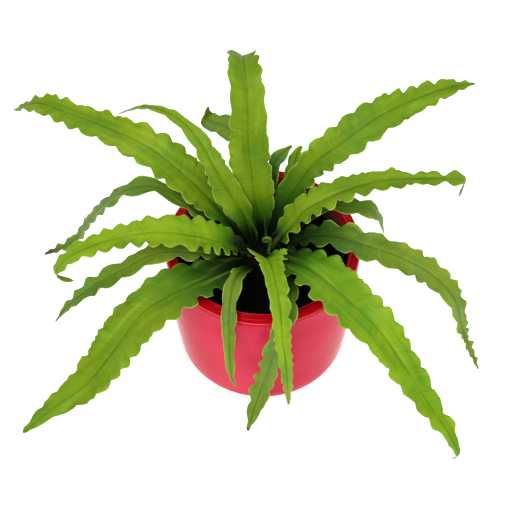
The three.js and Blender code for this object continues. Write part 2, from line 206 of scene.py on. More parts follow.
# ---- materials
def leaf_material(name, shaded_base, full, warm, cool):
    """Upper and lower skin of a frond. The mesh carries, for each point: light, the painted shade,
    from the dark heart (0) to the open part (1); across and along, in millimetres from the midrib and
    the base; rim, the distance to the edge; top, 1 on the upper skin; tone, how warm the green is; dry,
    how dead the tissue is; and crest, from -1 in the hollows of the ruffles to 1 on their crests."""
    sh = Shader(name)
    light, across, along, rim, top, tone, dry, crest = (sh.attribute(key) for key in (
        "light", "across", "along", "rim", "top", "tone", "dry", "crest"))
    width = sh.math("ABSOLUTE", across)

    # irregular streaks that leave the midrib at a slant, as the side veins do; each half of a frond
    # has its own lane of the noise
    slant = sh.math("SUBTRACT", along, sh.times(width, 0.45))
    lane = sh.math("MULTIPLY_ADD", sh.math("SIGN", across), 3.7, sh.times(tone, 19.0))

    def veins(detail, rough, close, drawn):
        return sh.noise(1.0, detail, rough, sh.join(sh.times(slant, close), sh.times(width, drawn), lane))

    broad = veins(2.0, 0.5, 0.16, 0.05)
    streak = veins(3.0, 0.6, 0.55, 0.06)
    fine = veins(1.0, 0.5, 2.2, 0.05)

    # painted shade: near black in the heart, through the shaded base green to the full green outwards;
    # then warm and cool patches
    sh.colour = linear(4, 17, 2)
    sh.over(sh.span(light, 0.0, 0.42), *shaded_base)
    sh.over(sh.span(light, 0.3, 1.0), *full)
    patch = sh.span(sh.math("MULTIPLY_ADD", tone, 0.2, sh.noise(24.0, 4.0)), 0.40, 0.78)
    # grown: 1 where the painted shade of the heart has lifted
    grown = sh.span(light, 0.3, 0.9)
    sh.over(sh.times(grown, 0.7, patch), *warm)
    cold = sh.times(sh.span(sh.noise(31.0, 3.0), 0.46, 0.70), sh.span(broad, 0.35, 0.65))
    sh.over(sh.times(grown, 0.85, cold), *cool)
    # painted shade in the hollows of the ruffles and painted highlight on their crests
    sh.deepen(sh.span(crest, 0.0, -1.0, 0.0, 0.42), 0.5, (0.0, 0.015, 0.0, 1.0))
    sh.over(sh.times(sh.span(crest, 0.1, 1.0, 0.0, 0.30), grown), 146, 178, 58)
    # soft darker and paler runs along the blade
    run = sh.noise(1.0, 2.0, 0.55, sh.join(sh.times(along, 0.022), sh.times(across, 0.16), lane))
    sh.deepen(sh.span(run, 0.50, 0.30, 0.0, 0.42), 0.5, (0.0, 0.02, 0.0, 1.0))
    sh.over(sh.span(run, 0.52, 0.72, 0.0, 0.34), 142, 176, 48)
    # the side veins: darker, warmer and, in places, a painted pale sheen
    sh.deepen(sh.times(sh.span(streak, 0.52, 0.30), 0.20), 0.55, (0.0, 0.015, 0.0, 1.0))
    sh.over(sh.times(sh.span(broad, 0.52, 0.72), grown, 0.30), *warm)
    painted_sheen = sh.times(sh.span(streak, 0.54, 0.74), sh.span(sh.noise(19.0, 3.0), 0.48, 0.66))
    sh.over(sh.times(painted_sheen, grown, 0.20), 158, 188, 92)
    sh.deepen(sh.times(sh.span(fine, 0.50, 0.70), 0.10), 0.5, (0.0, 0.01, 0.0, 1.0))

    # midrib: a thin darker groove above that comes and goes, a paler raised rib below
    line = sh.span(width, 0.25, 0.95, 1.0, 0.0)
    come_and_go = sh.noise(1.0, 2.0, 0.5, sh.join(sh.times(along, 0.06), lane, 0.0))
    sh.deepen(sh.times(line, sh.span(come_and_go, 0.35, 0.6, 0.15, 0.62), top), 0.72, linear(20, 44, 2))
    under = sh.math("SUBTRACT", 1.0, top)
    sh.over(sh.times(under, sh.span(light, 0.0, 0.7, 0.05, 0.45)), 84, 108, 34)
    sh.over(sh.times(under, sh.span(width, 0.5, 1.5, 0.8, 0.0), sh.span(light, 0.1, 0.7)), 104, 108, 40)

    # thin edge, paler towards the base but faded out in the painted shade of the heart, and dead brown
    # tissue
    edge = sh.times(sh.span(rim, 0.15, 0.70, 0.9, 0.0), sh.span(along, 60.0, 150.0, 1.0, 0.45))
    sh.over(sh.times(edge, sh.span(light, 0.12, 0.6)), 158, 190, 80)
    brown = sh.mix(sh.noise(300.0, 3.0), linear(34, 20, 12), linear(112, 76, 40))
    sh.colour = sh.mix(dry, sh.colour, brown)

    grain = sh.bump(sh.noise(900.0, 2.0), 0.00010)
    ribbed = sh.bump(sh.math("MULTIPLY_ADD", fine, 0.4, streak), 0.00040, grain)
    return sh.finish(sh.span(sh.noise(120.0, 2.0), 0.3, 0.7, 0.42, 0.56), ribbed, Specular_IOR_Level=0.14)


def glaze_material():
    """Red glaze outside and over the lip, with painted reflection and painted highlights; bare clay below
    a wandering line inside, and on the foot.
    """
    sh = Shader("red_glaze")
    x, y, z = sh.split(sh.place())
    reach = sh.math("SQRT", sh.math("ADD", sh.times(x, x), sh.times(y, y)))
    wander = sh.math("MULTIPLY_ADD", sh.noise(38.0, 3.0), 0.005, -0.0025)
    level = sh.math("ADD", z, wander)
    # negative inside a cone that lies within the wall
    wall = sh.math("SUBTRACT", reach, sh.math("MULTIPLY_ADD", z, 0.1, 0.0602))
    inside = sh.times(sh.span(wall, -0.0002, 0.0002, 1.0, 0.0), sh.span(level, 0.1062, 0.1074, 1.0, 0.0))
    bare = sh.math("MAXIMUM", inside, sh.span(z, 0.0006, 0.0011, 1.0, 0.0))

    # painted reflection: the wall's glaze is painted pink for the reflection of the pale floor, while the
    # lip's top above 112.2 mm keeps the glaze's deep red
    sh.colour = linear(200, 50, 74)
    sh.over(sh.span(sh.noise(14.0, 3.0), 0.35, 0.7), 186, 24, 54)
    sh.over(sh.span(z, 0.1122, 0.1129), 166, 2, 16)
    # painted highlights: thin, broken pale lines on the lip's shoulder and inner edge; the glaze also
    # gathers darker at the foot
    highlight_breaks = sh.span(sh.noise(34.0, 3.0, 0.6), 0.40, 0.62, 0.15, 0.9)
    shoulder = sh.times(sh.span(z, 0.1136, 0.1141), sh.span(z, 0.1144, 0.1151, 1.0, 0.0))
    inner_edge = sh.times(sh.span(reach, 0.0672, 0.0676), sh.span(reach, 0.0679, 0.0684, 1.0, 0.0))
    painted_highlights = sh.math("MAXIMUM", shoulder, sh.times(inner_edge, 0.6))
    sh.over(sh.times(painted_highlights, highlight_breaks), 224, 92, 98)
    sh.over(sh.span(level, 0.001, 0.008, 0.6, 0.0), 120, 0, 16)
    sh.over(sh.times(sh.math("LESS_THAN", sh.cells(170.0), 0.045), 0.55), 104, 0, 14)
    red = sh.colour

    sh.colour = linear(92, 50, 36)
    sh.over(sh.noise(240.0, 4.0), 150, 92, 66)
    sh.over(sh.span(sh.noise(45.0, 3.0), 0.45, 0.7), 70, 40, 30)
    sh.colour = sh.mix(bare, red, sh.colour)
    rough = sh.mix(bare, (0.10, 0.10, 0.10, 1.0), (0.88, 0.88, 0.88, 1.0))
    peel = sh.bump(sh.noise(75.0, 2.0), 0.00022)
    normal = sh.bump(sh.times(sh.noise(1500.0, 2.0), bare), 0.00025, peel)
    return sh.finish(rough, normal, Specular_IOR_Level=0.03)


def soil_material():
    sh = Shader("potting_soil")
    sh.colour = linear(1, 1, 1)
    sh.over(sh.span(sh.noise(260.0, 5.0, 0.65), 0.35, 0.7), 8, 6, 5)
    fibre = sh.span(sh.noise(420.0, 3.0, 0.6, stretch=(1.0, 0.22, 1.0)), 0.62, 0.72)
    sh.over(sh.times(fibre, 0.5), 24, 17, 12)
    grain = sh.bump(sh.noise(900.0, 4.0, 0.7), 0.0009)
    return sh.finish(0.95, sh.bump(sh.cells(330.0), 0.0009, grain), Specular_IOR_Level=0.08)


def bark_material(name, dark, light):
    sh = Shader(name)
    sh.colour = linear(*dark)
    sh.over(sh.span(sh.noise(340.0, 4.0, 0.6, stretch=(1.0, 1.0, 0.25)), 0.35, 0.7), *light)
    return sh.finish(0.85, sh.bump(sh.noise(700.0, 4.0, 0.7), 0.0006), Specular_IOR_Level=0.12)


def coil_material():
    sh = Shader("young_green")
    sh.colour = linear(56, 90, 18)
    sh.over(sh.span(sh.noise(180.0, 3.0), 0.4, 0.7), 92, 124, 42)
    hairy = sh.span(sh.noise(700.0, 3.0, 0.7, stretch=(1.0, 1.0, 0.4)), 0.62, 0.70)
    sh.over(sh.times(hairy, 0.75), 92, 62, 34)
    return sh.finish(0.55, sh.bump(sh.noise(600.0, 3.0), 0.0004), Specular_IOR_Level=0.35)


def floor_material():
    sh = Shader("studio_floor")
    sh.colour = sh.mix(sh.noise(3.0, 2.0), (0.97, 0.97, 0.97, 1.0), (0.96, 0.96, 0.96, 1.0))
    return sh.finish(0.75, Specular_IOR_Level=0.1, Emission_Color=(1.0, 1.0, 1.0, 1.0),
                     Emission_Strength=0.55)


# ---- shape helpers
def smoothstep(x):
    x = np.clip(x, 0.0, 1.0)
    return x * x * (3 - 2 * x)


def mix(a, b, t):
    return a + (b - a) * t


def unit(v):
    return v / np.linalg.norm(v, axis=-1, keepdims=True)


def polar(angle, radius, height):
    return np.array([radius * math.cos(angle), radius * math.sin(angle), height])


def hermite(start, end, leave, arrive, t):
    """A smooth run from start to end that leaves and arrives with the given slopes."""
    return ((2 * t ** 3 - 3 * t ** 2 + 1) * start + (t ** 3 - 2 * t ** 2 + t) * leave
            + (3 * t ** 2 - 2 * t ** 3) * end + (t ** 3 - t ** 2) * arrive)


def vary(x, key):
    """A steady irregular value from 0 to 1 that changes smoothly with x; each key has its own run."""
    def hashed(i):
        v = np.sin(i * 12.9898 + key * 78.233) * 43758.5453
        return v - np.floor(v)
    i = np.floor(x)
    return mix(hashed(i), hashed(i + 1), smoothstep(x - i))


def make_object(name, points, faces, material, attributes=None, smooth=True):
    mesh = bpy.data.meshes.new(name)
    mesh.from_pydata([tuple(p) for p in points], [], faces)
    for key, values in (attributes or {}).items():
        layer = mesh.attributes.new(key, "FLOAT", "POINT")
        layer.data.foreach_set("value", np.asarray(values, dtype=np.float32))
    mesh.materials.append(material)
    mesh.polygons.foreach_set("use_smooth", [smooth] * len(mesh.polygons))
    mesh.update()
    made = bpy.data.objects.new(name, mesh)
    bpy.context.collection.objects.link(made)
    return made


def scatter_object(name, parts, material, smooth=False):
    """One object from many small parts, each as points and faces."""
    points, faces, base = [], [], 0
    for p, f in parts:
        points.append(p)
        faces += [tuple(i + base for i in face) for face in f]
        base += len(p)
    return make_object(name, np.vstack(points) * MM, faces, material, smooth=smooth)


def tube_faces(rings, sides):
    """The faces of a closed tube whose points run ring by ring."""
    faces = []
    for r in range(rings - 1):
        for k in range(sides):
            m = (k + 1) % sides
            faces.append((r * sides + k, r * sides + m, (r + 1) * sides + m, (r + 1) * sides + k))
    faces.append(tuple(range(sides))[::-1])
    faces.append(tuple((rings - 1) * sides + k for k in range(sides)))
    return faces


# ---- fronds
# The model's table. route: guide points [bearing in degrees, reach from the axis, height], base to
# tip; half: half the width at even stations; waves: full ripples along an edge, and lift: their
# height; sense: which edge rises first; fold: how steeply the two halves rise from the midrib, and
# open: the share of it that is lost towards the tip; early: the share of the length over which the
# ripples grow; ease: how much closer they stand near the base; edges: how strongly each edge is
# rippled; frill: how much deeper it is cut near the base; room: how fast the base widens; roll: the
# blade's turn about its midrib at base, middle and tip; seed: picks its irregularities.
# Only here: look: the material, how warm its green is, the share of the length that is dead and
# brown, and how far the painted shade of the heart reaches; and finer: room: how much sooner it
# widens; calm: how strong the ruffles are; stalk: where a narrow stalk ends; pinch: places and
# depths of waists; wings: extra width where the blade leaves the heart; left: extra width of the
# left half near the base; crimp: a tight crimp near the tip.
FRONDS = [
    dict(name="frond_back_upright", half=[4.5, 12, 16.5, 16.4, 14.5, 13, 10, 1], waves=15, lift=1.8,
         fold=26, open=0.2, room=0.4, edges=[0.7, 0.8], seed=1, look=("green", 0.1, 0.0, 62),
         route=[[92, 13, 97], [99, 21, 117], [102, 33, 144], [103.4, 47, 174], [100.4, 62, 205],
          [99.5, 84, 220], [98.5, 105, 213], [98.5, 120, 186]]),
    dict(name="frond_right_upper", half=[4, 8, 10, 13.3, 13.5, 10.5, 6.5, 1], waves=16, lift=2.4,
         fold=22, room=0.22, edges=[0.9, 1.3], seed=2, sense=-1, look=("green", 0.3, 0.0, 112),
         finer=dict(room=2.1, left=0.35, crimp=0.5), route=[[64, 15, 97], [60, 25, 116],
          [46.3, 50, 160.2], [35, 74, 185], [33, 103, 197], [33, 140, 196], [33, 172, 190],
          [33, 197, 180]]),
    dict(name="frond_right", half=[5, 12.6, 12.4, 11.2, 9, 6.5, 5.5, 3], waves=15, lift=2.6, fold=24,
         early=0.12, ease=0.2, room=0.22, edges=[0.8, 1.2], frill=[0.2, 0.6], seed=3, sense=-1,
         roll=[0, 0, 30], look=("green", 0.2, 0.0, 42),
         finer=dict(room=2.1, pinch=[(0.685, 0.5), (0.81, 0.5)]), route=[[17, 9, 99], [16, 18, 119],
          [20, 33, 140], [18, 53, 151.5], [17, 72, 157], [16.7, 99, 156.5], [16.7, 126, 149],
          [16.7, 148, 142], [17, 163, 133.5], [17, 161, 116]]),
    dict(name="frond_right_small", half=[2, 2, 2, 4, 6.5, 6.5, 4.5, 1], waves=6, lift=1.6, fold=20,
         seed=4, sense=-1, look=("dark", 0.0, 0.0, 110), finer=dict(stalk=0.5), route=[[30, 14, 97],
          [32, 29, 109], [30, 43, 118], [27, 60, 126], [21, 71, 129], [18, 84, 126], [17, 94, 115],
          [17, 101, 90]]),
    dict(name="frond_right_lower", half=[3.5, 8.5, 11.5, 11, 9.5, 7.5, 4.5, 1], waves=17, lift=2.4,
         fold=22, room=0.14, edges=[1.1, 1], frill=[0.3, 0.3], seed=5, sense=-1,
         look=("dark", 0.3, 0.0, 130), finer=dict(crimp=0.75, pinch=[(0.86, 0.35)]),
         route=[[-11, 13, 97], [-7, 27, 123], [-14.5, 51, 141.3], [-20.2, 78, 148.5], [-20, 107, 145.5],
          [-20.8, 134, 137], [-21, 152, 118], [-21.8, 163, 86], [-22.4, 181, 45]]),
    dict(name="frond_right_front", half=[4.5, 14.5, 18.5, 18, 15, 11, 6.5, 1], waves=17, lift=3, fold=14,
         early=0.12, ease=0.3, room=0.225, edges=[1, 0.9], frill=[0.1, 1.4], seed=6, sense=-1,
         look=("bright", 0.2, 0.0, 122), finer=dict(calm=0.85, crimp=0.4), route=[[-51, 10, 99],
          [-48, 27, 120], [-47.5, 58, 134], [-48.6, 92, 137.5], [-48.6, 125, 134], [-49.2, 154, 121],
          [-49.9, 182, 108.5], [-50.2, 203, 99.5], [-49.8, 215, 80], [-50.3, 211, 71]]),
    dict(name="frond_front", half=[4, 10, 10.5, 8, 6.5, 5.5, 3.8, 1.2], waves=18, lift=1.8, fold=34,
         early=0.12, room=0.44, edges=[1.1, 1.1], frill=[0.6, 0.6], seed=7,
         look=("bright", 0.6, 0.0, 64), finer=dict(wings=0.4, calm=1.35), route=[[-90, 8, 99],
          [-86, 24, 126], [-84, 42, 147], [-83, 62, 157], [-82, 84, 149], [-82, 98, 130],
          [-81, 107, 102], [-80, 111, 59]]),
    dict(name="frond_front_low", half=[2, 4, 6.5, 7.5, 8, 7.5, 7, 1.5], waves=11, lift=1.8, fold=20,
         edges=[1.2, 1.2], seed=8, look=("dark", 0.1, 0.015, 100), route=[[-62, 14, 97], [-62, 30, 109],
          [-65, 47, 118], [-72, 63, 124], [-78, 79, 122], [-85, 89, 95], [-91, 95, 56], [-96, 112, 24]]),
    dict(name="frond_front_left", half=[2, 3.5, 5, 6, 5.6, 4.2, 2.8, 0.8], waves=7, lift=1, fold=16,
         edges=[0.8, 0.8], seed=9, look=("dark", 0.6, 0.0, 85), route=[[-112, 12, 98], [-114, 31, 120],
          [-113, 54, 134], [-109, 76, 126], [-106, 90, 102], [-104, 97, 76], [-102, 98, 62]]),
    dict(name="frond_left_front", half=[4.5, 13.5, 18.8, 20, 19, 16, 9.5, 2.6], waves=17, lift=3,
         fold=16, early=0.12, ease=0.2, room=0.235, edges=[0.9, 0.8], frill=[1.3, 0.1], seed=10,
         look=("green", 0.5, 0.0, 160), finer=dict(calm=0.72), route=[[222, 11, 98], [223, 34, 112],
          [222, 62, 122], [221, 90, 129], [220, 116, 126], [220.6, 140, 110], [220.6, 172, 89.5],
          [220.7, 208, 89], [220.2, 227, 81.5]]),
    dict(name="frond_left", half=[5, 14.5, 16.6, 14, 10.5, 8.8, 7, 3], waves=17, lift=3, fold=22,
         early=0.1, ease=0.3, room=0.252, edges=[0.9, 0.45], frill=[1, 0.2], seed=11,
         look=("bright", 1.1, 0.0, 64), finer=dict(crimp=0.5), route=[[195, 8, 99], [189, 26, 118],
          [189, 50, 133.5], [189, 76, 144], [189.8, 102, 147], [190, 128, 141], [190, 148, 130],
          [191, 158, 116], [192, 146, 109]]),
    dict(name="frond_left_low", half=[2, 5, 7.5, 9, 8.5, 7.5, 5, 0.8], waves=10, lift=1.8, fold=16,
         edges=[1.3, 1], seed=12, look=("dark", 0.1, 0.05, 62), finer=dict(crimp=0.6, calm=1.3),
         route=[[200, 13, 97], [196.5, 32, 110.5], [194, 58, 122.5], [194, 82, 128.5], [194, 106, 118.5],
          [194, 134, 103], [194, 156, 82], [194, 166, 68]]),
    dict(name="frond_left_rear", half=[2, 4.5, 5.8, 6.8, 7, 6.4, 4.4, 1.4], waves=13, lift=1.6, fold=18,
         edges=[1.3, 1], seed=13, roll=[0, -10, -24], look=("dark", 0.2, 0.06, 120),
         finer=dict(crimp=0.8), route=[[171, 13, 97], [167, 28, 108], [163, 46, 127], [164, 65, 146],
          [165, 84, 157], [165.6, 105, 149], [165.5, 126, 124], [164.5, 142, 97], [164.5, 160, 64],
          [164.5, 188, 37]]),
    dict(name="frond_left_upper", half=[4, 12.5, 16.5, 16.5, 14.5, 12, 9, 1.6], waves=17, lift=2.6,
         fold=18, room=0.125, edges=[1.2, 0.9], seed=14, look=("green", 0.6, 0.0, 96),
         finer=dict(crimp=0.5), route=[[146, 13, 97], [148, 33, 125], [151, 49.5, 144], [154, 66, 162],
          [154, 92, 177.5], [154, 122, 183], [154, 160, 184], [154, 190, 182.5], [154, 216, 163.5]]),
    dict(name="frond_left_tall", half=[4, 12, 11, 8, 5.2, 3, 2.2, 0.8], waves=13, lift=1.8, fold=24,
         room=0.225, edges=[0.9, 0.8], seed=15, roll=[-34, -16, 0], look=("green", 0.4, 0.0, 62),
         route=[[128, 8, 99], [132, 20, 127], [139.5, 37.5, 154.5], [138, 55, 175.5], [137, 72, 188],
          [137.5, 96, 191.5], [138, 120, 182], [138.5, 154, 151]]),
    dict(name="frond_back_left_young", half=[2, 2.4, 2.8, 3.6, 6, 8.4, 7.5, 1.6], waves=7, lift=1.4,
         fold=22, seed=16, look=("dark", 0.2, 0.0, 120), route=[[109, 18, 97], [104.5, 30, 122],
          [100, 42, 143], [101, 54, 158], [106, 64, 169], [114, 74, 175], [120, 84, 177],
          [120.5, 82, 192]]),
    dict(name="frond_back_right_curled", half=[2, 2.4, 2.8, 3.5, 4.6, 5.6, 4.8, 1.2], waves=4, lift=1.2,
         fold=24, seed=18, look=("dark", 0.3, 0.0, 110), route=[[78, 17.5, 97.5], [80, 28.5, 117],
          [82, 38, 138], [81, 43, 153], [75, 49, 163], [67, 57, 169]]),
    dict(name="frond_back_right_young", half=[2, 2.4, 2.8, 3.4, 4.6, 5.8, 5.2, 1.5], waves=4, lift=1.2,
         fold=24, seed=20, look=("green", 0.1, 0.0, 110), route=[[48, 17.5, 98], [62, 32, 116],
          [64, 44.5, 138], [63, 51, 152], [63, 58.5, 162], [62.5, 64, 164]]),
    dict(name="frond_back_low", half=[2, 4, 6, 8, 8.5, 7.5, 5, 1], waves=8, lift=1.6, fold=18, seed=19,
         look=("dark", 0.3, 0.0, 140), route=[[95, 18.5, 97.5], [95, 32, 112], [95, 54, 127],
          [96, 78, 129], [97, 100, 112], [97, 112, 82]]),
]

STEEP = 50.0        # the least fold of a base, in degrees
SPREAD = 38.0       # the reach at which the bases have room for twice their width
ROWS_PER_WAVE = 14
MIDRIB_STEPS = 240
# the places of the columns from the midrib to an edge, as shares of the half width
COLUMNS = np.array([0, 0.055, 0.12, 0.21, 0.32, 0.44, 0.56, 0.68, 0.78, 0.86, 0.92, 0.96, 0.985, 1.0])
DARK_REACH = 16.0   # all within this distance of the heart gets the darkest painted shade
CREST_LIFT = 2.6    # the lift that counts as a full crest


def midrib(route):
    """Short steps along the curve through the route: place, direction, sideways direction, run."""
    guides = np.array([polar(math.radians(bearing), reach, height) for bearing, reach, height in route])
    guides = np.vstack([2 * guides[0] - guides[1], guides, 2 * guides[-1] - guides[-2]])
    spans = len(guides) - 3
    at = np.zeros((MIDRIB_STEPS + 1, 3))
    for k in range(MIDRIB_STEPS + 1):
        x = k / MIDRIB_STEPS * spans
        i = min(int(x), spans - 1)
        w = x - i
        a, b, c, d = guides[i:i + 4]
        da, db, dc = (((q - p) @ (q - p)) ** 0.25 for p, q in ((a, b), (b, c), (c, d)))
        m = ((b - a) / da - (c - a) / (da + db) + (c - b) / db) * db
        n = ((c - b) / db - (d - b) / (db + dc) + (d - c) / dc) * db
        at[k] = b + m * w + (3 * c - 3 * b - 2 * m - n) * w ** 2 + (2 * b - 2 * c + m + n) * w ** 3
    run = np.concatenate([[0.0], np.cumsum(np.linalg.norm(np.diff(at, axis=0), axis=1))])
    steps = np.arange(MIDRIB_STEPS + 1)
    ahead = unit(at[np.minimum(steps + 1, MIDRIB_STEPS)] - at[np.maximum(steps - 1, 0)])
    bearing = math.radians(route[1][0])
    side = np.array([math.sin(bearing), -math.cos(bearing), 0.0])
    sides = np.zeros_like(at)
    for k in steps:
        side = unit(side - ahead[k] * (side @ ahead[k]))
        sides[k] = side
    return at, ahead, sides, run


def through(values, s):
    """A smooth run through evenly spaced values."""
    values = np.asarray(values, float)
    x = np.clip(s, 0.0, 1.0) * (len(values) - 1)
    i = np.minimum(len(values) - 2, np.floor(x).astype(int))
    b, c = values[i], values[i + 1]
    a = np.where(i > 0, values[np.maximum(i - 1, 0)], b)
    d = np.where(i < len(values) - 2, values[np.minimum(i + 2, len(values) - 1)], c)
    return hermite(b, c, (c - a) / 2, (d - b) / 2, x - i)


def ruffle(turns, sharp=0.8):
    """One wave a turn with a round top and a sharper notch, about -0.9 to 0.7."""
    psi = turns * TURN + math.pi / 6 - 1.5 * math.pi
    return -1.0 + 1.683 * (np.sin(psi / 2) ** 2 + 0.006) ** (sharp / 2)


class Blade:
    """One frond as a grid: the rows go from base to tip, the columns u from one edge to the other."""

    def __init__(self, frond):
        self.frond = frond
        self.finer = frond.get("finer", {})
        self.waves, self.seed = frond["waves"], frond["seed"]
        self.rows = self.waves * ROWS_PER_WAVE
        self.u = np.concatenate([-COLUMNS[:0:-1], COLUMNS])
        self.edge, self.sign, self.left = np.abs(self.u), np.sign(self.u), self.u < 0
        self.q = np.arange(self.rows + 1) / self.rows
        self.turns = self.q * self.waves
        self.follow_midrib()
        self.set_width()

    def follow_midrib(self):
        """The place and directions of each row; s is its share of the length."""
        q, seed = self.q, self.seed
        at, ahead, sides, run = midrib(self.frond["route"])
        self.length = run[-1]
        uneven = 1.3 * (vary(self.turns * 0.3, seed * 11) - 0.5) / self.waves
        shift = 0.006 * np.sin(q * 19 + seed) + uneven
        s = mix(q, q * q, self.frond.get("ease", 0.0)) + shift * 4 * q * (1 - q)

        def pick(table):
            return np.stack([np.interp(s, run / self.length, table[:, k]) for k in range(3)], 1)

        self.s = s
        self.spot = pick(at)
        self.forward = unit(pick(ahead))
        side = pick(sides)
        side = unit(side - self.forward * (side * self.forward).sum(1, keepdims=True))
        first, middle, last = self.frond.get("roll", (0, 0, 0))
        roll = np.radians(np.where(s < 0.5, mix(first, middle, smoothstep(s * 2)),
                                   mix(middle, last, smoothstep(s * 2 - 1))))[:, None]
        self.side = side * np.cos(roll) + np.cross(self.forward, side) * np.sin(roll)
        self.up = np.cross(self.side, self.forward)

    def set_width(self):
        """How steeply the two halves rise, and half the width, in each row."""
        s, finer = self.s, self.finer
        flat = self.frond["fold"] * (1 - self.frond.get("open", 0.75) * smoothstep(s / 0.7))
        self.fold = np.radians(mix(np.maximum(STEEP, flat), flat, smoothstep(s / 0.2)))
        reach = np.hypot(self.spot[:, 0], self.spot[:, 1])
        room = self.frond.get("room", 1.0) * finer.get("room", 1.5)
        gap = room * reach * (1 + (reach / SPREAD) ** 3) / np.cos(self.fold)
        half = (np.maximum(0.7, through(self.frond["half"], s)) ** -4 + gap ** -4) ** -0.25
        half = half * np.sqrt(np.clip((1.0 - self.q) / 0.012, 0.02, 1.0))
        for place, depth in finer.get("pinch", []):
            half = half * (1 - depth * np.exp(-((s - place) / 0.022) ** 2))
        half = half * (1 + finer.get("wings", 0.0) * np.exp(-((s - 0.22) / 0.07) ** 2))
        if "stalk" in finer:
            half = half * mix(0.5, 1.0, smoothstep((s - finer["stalk"] + 0.1) / 0.14))
        self.half = half[:, None]

    def by_edge(self, rate, key, low, high):
        """Irregular values from low to high that change at a rate a wave, other ones on each edge."""
        left, right = (low + (high - low) * vary(self.turns * rate, self.seed * key + k)[:, None]
                       for k in (0, 1))
        return np.where(self.left, left, right)

    def each_edge(self, key, usual):
        """The frond's two values for its left and right edge, over the columns."""
        return np.where(self.left, *self.frond.get(key, [usual, usual]))

    def ruffles(self):
        """How far each point is lifted, moved outwards and slid forwards off the smooth blade."""
        u, edge, sign, finer = self.u, self.edge, self.sign, self.finer
        s, half, by_edge = self.s[:, None], self.half, self.by_edge
        rising = self.frond.get("sense", 1) * sign
        grown = smoothstep(s / self.frond.get("early", 0.24))
        swing = self.frond["lift"] * grown * (0.8 + 0.2 * np.sin(self.q * 31 + self.seed * 2))[:, None]
        thin = np.minimum(1.0, half / 8)

        # each edge's ruffles differ in strength and keep a little out of step
        bulk = by_edge(1.0, 3, 0.0, 1.0)
        size = self.each_edge("edges", 1.0) * np.minimum(
            1.4, by_edge(0.24, 31, 0.5, 1.4) * (0.45 + 1.2 * bulk ** 1.3))
        slant = (1 - edge) * half * 0.5 / self.length * self.waves
        phase = self.turns[:, None] + slant + by_edge(0.6, 5, -0.18, 0.18) * edge
        wave = ruffle(phase) * size
        calm = finer.get("calm", 1.0)
        lift = calm * swing * thin * wave * rising * edge ** 3
        bow = calm * 1.4 * u * wave * grown * thin * edge ** 2

        # near the base, rounder and deeper lobes on the edges that have them, and a tight frill
        near = smoothstep(s / 0.07) * (1 - smoothstep((s - 0.2) / 0.3)) * thin
        cut = near * self.each_edge("frill", 0.0)
        left_over = 1 - 0.75 * np.minimum(1.0, cut)
        lift, bow = lift * left_over, bow * left_over
        swing_at = phase * TURN + math.pi / 6
        lobe = np.sin(swing_at) * (0.7 + 0.5 * bulk) * cut * edge ** 4
        lift = lift + 0.8 * lobe * rising
        bow = bow + 2.3 * u * lobe
        # the lobes bulge like the bends of a stream and lean back to the heart
        pitch = np.gradient(self.s, self.q)[:, None] * self.length / self.waves
        slide = -0.08 * pitch * np.sin(2 * swing_at) * np.minimum(1.0, cut) * edge ** 3 - 0.8 * lobe
        frill = ruffle(phase * 2 + 0.31, 0.7) * (0.3 * cut + 0.2 * near) * by_edge(2.0, 13, 0.4, 1.6)
        lift = lift - 0.7 * frill * edge ** 5
        bow = bow + 0.4 * sign * frill * edge ** 6

        # a tight crimp near the tip
        tip = smoothstep((s - 0.68) / 0.12) * (1 - smoothstep((s - 0.95) / 0.05))
        crimp = finer.get("crimp", 0.0) * tip * np.sin(phase * 3.2 * math.pi) * by_edge(1.6, 37, 0.5, 1.5)
        lift = lift + 0.5 * crimp * edge ** 4
        bow = bow + 1.1 * crimp * sign * edge ** 3

        # small nicks and a faint crinkle all along the edge
        nick = np.clip(by_edge(2.3, 11, 0.0, 1.0) - 0.7, 0.0, 0.3) / 0.3
        bow = bow - 1.5 * sign * nick * thin * grown * edge ** 8
        crinkle = (by_edge(3.1, 17, -1.0, 1.0) + by_edge(6.7, 19, -0.5, 0.5)) * thin * grown
        lift = lift + 0.75 * crinkle * edge ** 6
        bow = bow + 0.75 * crinkle * sign * edge ** 8
        # broad soft swells across each half
        swell = by_edge(0.45, 23, -1.0, 1.0) + 0.5 * by_edge(0.9, 29, -1.0, 1.0)
        lift = lift + 1.3 * swell * (edge * (1.15 - edge) * 3) * thin * grown
        return lift, bow, slide

    def skins(self, lift, bow, slide):
        """The points of the upper and the lower skin, row by row."""
        s, half, edge = self.s[:, None], self.half, self.edge
        low = smoothstep((s - 0.05) / 0.1) * (1 - smoothstep((s - 0.2) / 0.1))
        wide = self.by_edge(0.37, 7, 0.93, 1.07) * (1 + self.finer.get("left", 0.0) * low * self.left)
        gape, rise = np.cos(self.fold)[:, None], np.sin(self.fold)[:, None]
        out = half * self.u * wide * gape + bow
        climb = half * (edge - 0.10 * edge ** 3) / 0.90 * rise + lift
        # half the blade's thickness: thick at the root, thinner beyond it and towards the edges
        wall = mix(mix(1.45, 0.85, edge), mix(0.50, 0.30, edge), smoothstep(s / 0.2))
        wall = wall * np.sqrt(np.clip(1 - ((edge - 0.94) / 0.062).clip(0, 1) ** 2, 0.08, 1.0))
        wall = wall * np.clip((1 - self.q) / 0.02, 0.25, 1.0)[:, None]
        across = half * self.u
        groove = 0.38 * np.exp(-(across / 0.85) ** 2) * smoothstep((s - 0.05) / 0.15)
        rib = 0.75 * np.exp(-(across / 1.0) ** 2) * (1 - 0.75 * s) * np.minimum(1, half / 5)
        return [self.spot[:, None, :] + self.side[:, None, :] * out[:, :, None]
                + self.up[:, None, :] * height[:, :, None] + self.forward[:, None, :] * slide[:, :, None]
                for height in (climb + wall - groove, climb - wall - rib)]

